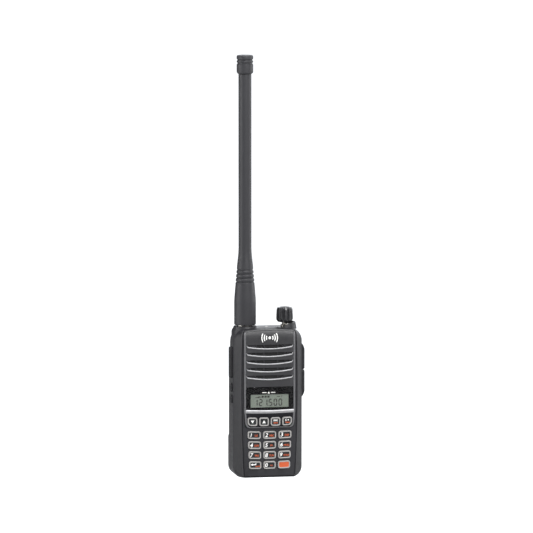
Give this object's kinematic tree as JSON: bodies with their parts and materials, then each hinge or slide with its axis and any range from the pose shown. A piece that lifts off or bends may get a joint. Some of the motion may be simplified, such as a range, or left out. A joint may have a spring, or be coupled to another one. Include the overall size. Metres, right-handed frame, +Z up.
{
  "type": "handheld radio transceiver",
  "caption": "Handheld VHF airband radio with a long whip antenna, display, keypad, volume knob, push-to-talk bar, slide-on battery and belt clip.",
  "frame": {"origin": "middle of the casing's foot, on the surface the radio stands on", "axes": "+X to the reader's right when facing the front, +Y from the front to the back, +Z up along the antenna"},
  "size_m": [0.0562, 0.0433, 0.3144],
  "materials": {
    "casing": "black fine-textured polycarbonate, slightly glossy on worn edges",
    "battery_shell": "black textured polycarbonate, a little coarser than the casing",
    "panel": "charcoal satin metallic-looking plastic",
    "window": "polished black acrylic with a clear display area",
    "lcd": "grey-green reflective liquid crystal glass",
    "trim": "satin silver plated plastic",
    "diffuser": "milky translucent acrylic",
    "key": "dark keypad rubber with a light grey printed ring",
    "orange_key": "orange hard key top with a light ring",
    "rubber": "matte black elastomer",
    "antenna_rubber": "charcoal moulded rubber, satin",
    "knob": "black soft-touch rubber",
    "nickel": "nickel-plated brass and steel",
    "tinplate": "pressed tinplate",
    "board": "green solder-masked circuit board",
    "cloth": "fine black acoustic cloth",
    "cell": "blue shrink-wrapped cell"
  },
  "bodies": {
    "body": {"front_cover": "casing", "speaker_panel": "panel", "display_window": "window", "trim_bar": "trim", "lcd_module": "lcd", "lcd_backlight": "diffuser", "keypad_mat": "rubber", "key_board": "board", "main_board": "board", "rf_shield": "tinplate", "speaker_driver": "tinplate", "speaker_cone": "cloth", "speaker_mesh": "cloth", "microphone": "tinplate", "rear_case": "casing", "case_seal": "rubber", "volume_switch": "nickel", "status_led": "diffuser", "antenna_jack": "nickel", "side_switch_board": "board", "jack_cover_tab": "rubber", "audio_jacks": "casing", "contact_block": "nickel", "case_screw_left": "nickel", "case_screw_right": "nickel", "clip_base": "casing", "clip_pin": "nickel", "clip_spring": "nickel"},
    "volume": {"volume_knob": "knob", "volume_shaft": "nickel"},
    "antenna": {"antenna_plug": "nickel", "antenna_sleeve": "antenna_rubber", "antenna_core": "nickel", "antenna_tip": "antenna_rubber"},
    "battery": {"battery_case": "battery_shell", "battery_plate": "battery_shell", "cell_left": "cell", "cell_right": "cell"},
    "latch": {"battery_latch": "casing"},
    "clip": {"clip_arm": "casing"},
    "jack_flap": {"jack_cover": "rubber"},
    "ptt_button": {"ptt_button": "rubber"},
    "side_key_upper": {"side_key_upper": "rubber"},
    "side_key_lower": {"side_key_lower": "rubber"},
    "down_key": {"down_key": "key"},
    "up_key": {"up_key": "key"},
    "mode_key": {"mode_key": "key"},
    "clear_key": {"clear_key": "key"},
    "key_0": {"key_0": "key"},
    "key_1": {"key_1": "key"},
    "key_2": {"key_2": "key"},
    "key_3": {"key_3": "key"},
    "key_4": {"key_4": "key"},
    "key_5": {"key_5": "key"},
    "key_6": {"key_6": "key"},
    "key_7": {"key_7": "key"},
    "key_8": {"key_8": "key"},
    "key_9": {"key_9": "key"},
    "enter_key": {"enter_key": "key"},
    "squelch_key": {"squelch_key": "orange_key"}
  },
  "joints": [
    {"name": "volume_turn", "type": "hinge", "parent": "body", "child": "volume", "pos_m": [0.0142, 0.0045, 0.113], "axis": [0, 0, -1], "range_deg": [0, 290]},
    {"name": "antenna_turn", "type": "hinge", "parent": "body", "child": "antenna", "pos_m": [-0.0157, 0.0045, 0.1135], "axis": [0, 0, 1], "range_deg": [0, 90]},
    {"name": "battery_slide", "type": "slide", "parent": "body", "child": "battery", "axis": [0, 0, -1], "range_m": [0, 0.088]},
    {"name": "latch_slide", "type": "slide", "parent": "body", "child": "latch", "axis": [0, -1, 0], "range_m": [0, 0.002], "stiffness_N_per_m": 600, "springref_m": -0.002},
    {"name": "clip_open", "type": "hinge", "parent": "body", "child": "clip", "pos_m": [0, 0.0255, 0.099], "axis": [1, 0, 0], "range_deg": [0, 15], "stiffness_Nm_per_rad": 1, "springref_deg": -17.19},
    {"name": "jack_flap_open", "type": "hinge", "parent": "body", "child": "jack_flap", "pos_m": [0.0283, 0.002, 0.0798], "axis": [0, 1, 0], "range_deg": [0, 120]},
    {"name": "ptt_press", "type": "slide", "parent": "body", "child": "ptt_button", "axis": [1, 0, 0], "range_m": [0, 0.0012], "stiffness_N_per_m": 1500, "springref_m": -0.0008},
    {"name": "side_key_upper_press", "type": "slide", "parent": "body", "child": "side_key_upper", "axis": [1, 0, 0], "range_m": [0, 0.0008], "stiffness_N_per_m": 1500, "springref_m": -0.0006},
    {"name": "side_key_lower_press", "type": "slide", "parent": "body", "child": "side_key_lower", "axis": [1, 0, 0], "range_m": [0, 0.0008], "stiffness_N_per_m": 1500, "springref_m": -0.0006},
    {"name": "down_key_press", "type": "slide", "parent": "body", "child": "down_key", "axis": [0, 1, 0], "range_m": [0, 0.0005], "stiffness_N_per_m": 2000, "springref_m": -0.0004},
    {"name": "up_key_press", "type": "slide", "parent": "body", "child": "up_key", "axis": [0, 1, 0], "range_m": [0, 0.0005], "stiffness_N_per_m": 2000, "springref_m": -0.0004},
    {"name": "mode_key_press", "type": "slide", "parent": "body", "child": "mode_key", "axis": [0, 1, 0], "range_m": [0, 0.0005], "stiffness_N_per_m": 2000, "springref_m": -0.0004},
    {"name": "clear_key_press", "type": "slide", "parent": "body", "child": "clear_key", "axis": [0, 1, 0], "range_m": [0, 0.0005], "stiffness_N_per_m": 2000, "springref_m": -0.0004},
    {"name": "key_0_press", "type": "slide", "parent": "body", "child": "key_0", "axis": [0, 1, 0], "range_m": [0, 0.0005], "stiffness_N_per_m": 2000, "springref_m": -0.0004},
    {"name": "key_1_press", "type": "slide", "parent": "body", "child": "key_1", "axis": [0, 1, 0], "range_m": [0, 0.0005], "stiffness_N_per_m": 2000, "springref_m": -0.0004},
    {"name": "key_2_press", "type": "slide", "parent": "body", "child": "key_2", "axis": [0, 1, 0], "range_m": [0, 0.0005], "stiffness_N_per_m": 2000, "springref_m": -0.0004},
    {"name": "key_3_press", "type": "slide", "parent": "body", "child": "key_3", "axis": [0, 1, 0], "range_m": [0, 0.0005], "stiffness_N_per_m": 2000, "springref_m": -0.0004},
    {"name": "key_4_press", "type": "slide", "parent": "body", "child": "key_4", "axis": [0, 1, 0], "range_m": [0, 0.0005], "stiffness_N_per_m": 2000, "springref_m": -0.0004},
    {"name": "key_5_press", "type": "slide", "parent": "body", "child": "key_5", "axis": [0, 1, 0], "range_m": [0, 0.0005], "stiffness_N_per_m": 2000, "springref_m": -0.0004},
    {"name": "key_6_press", "type": "slide", "parent": "body", "child": "key_6", "axis": [0, 1, 0], "range_m": [0, 0.0005], "stiffness_N_per_m": 2000, "springref_m": -0.0004},
    {"name": "key_7_press", "type": "slide", "parent": "body", "child": "key_7", "axis": [0, 1, 0], "range_m": [0, 0.0005], "stiffness_N_per_m": 2000, "springref_m": -0.0004},
    {"name": "key_8_press", "type": "slide", "parent": "body", "child": "key_8", "axis": [0, 1, 0], "range_m": [0, 0.0005], "stiffness_N_per_m": 2000, "springref_m": -0.0004},
    {"name": "key_9_press", "type": "slide", "parent": "body", "child": "key_9", "axis": [0, 1, 0], "range_m": [0, 0.0005], "stiffness_N_per_m": 2000, "springref_m": -0.0004},
    {"name": "enter_key_press", "type": "slide", "parent": "body", "child": "enter_key", "axis": [0, 1, 0], "range_m": [0, 0.0005], "stiffness_N_per_m": 2000, "springref_m": -0.0004},
    {"name": "squelch_key_press", "type": "slide", "parent": "body", "child": "squelch_key", "axis": [0, 1, 0], "range_m": [0, 0.0005], "stiffness_N_per_m": 2000, "springref_m": -0.0004}
  ]
}
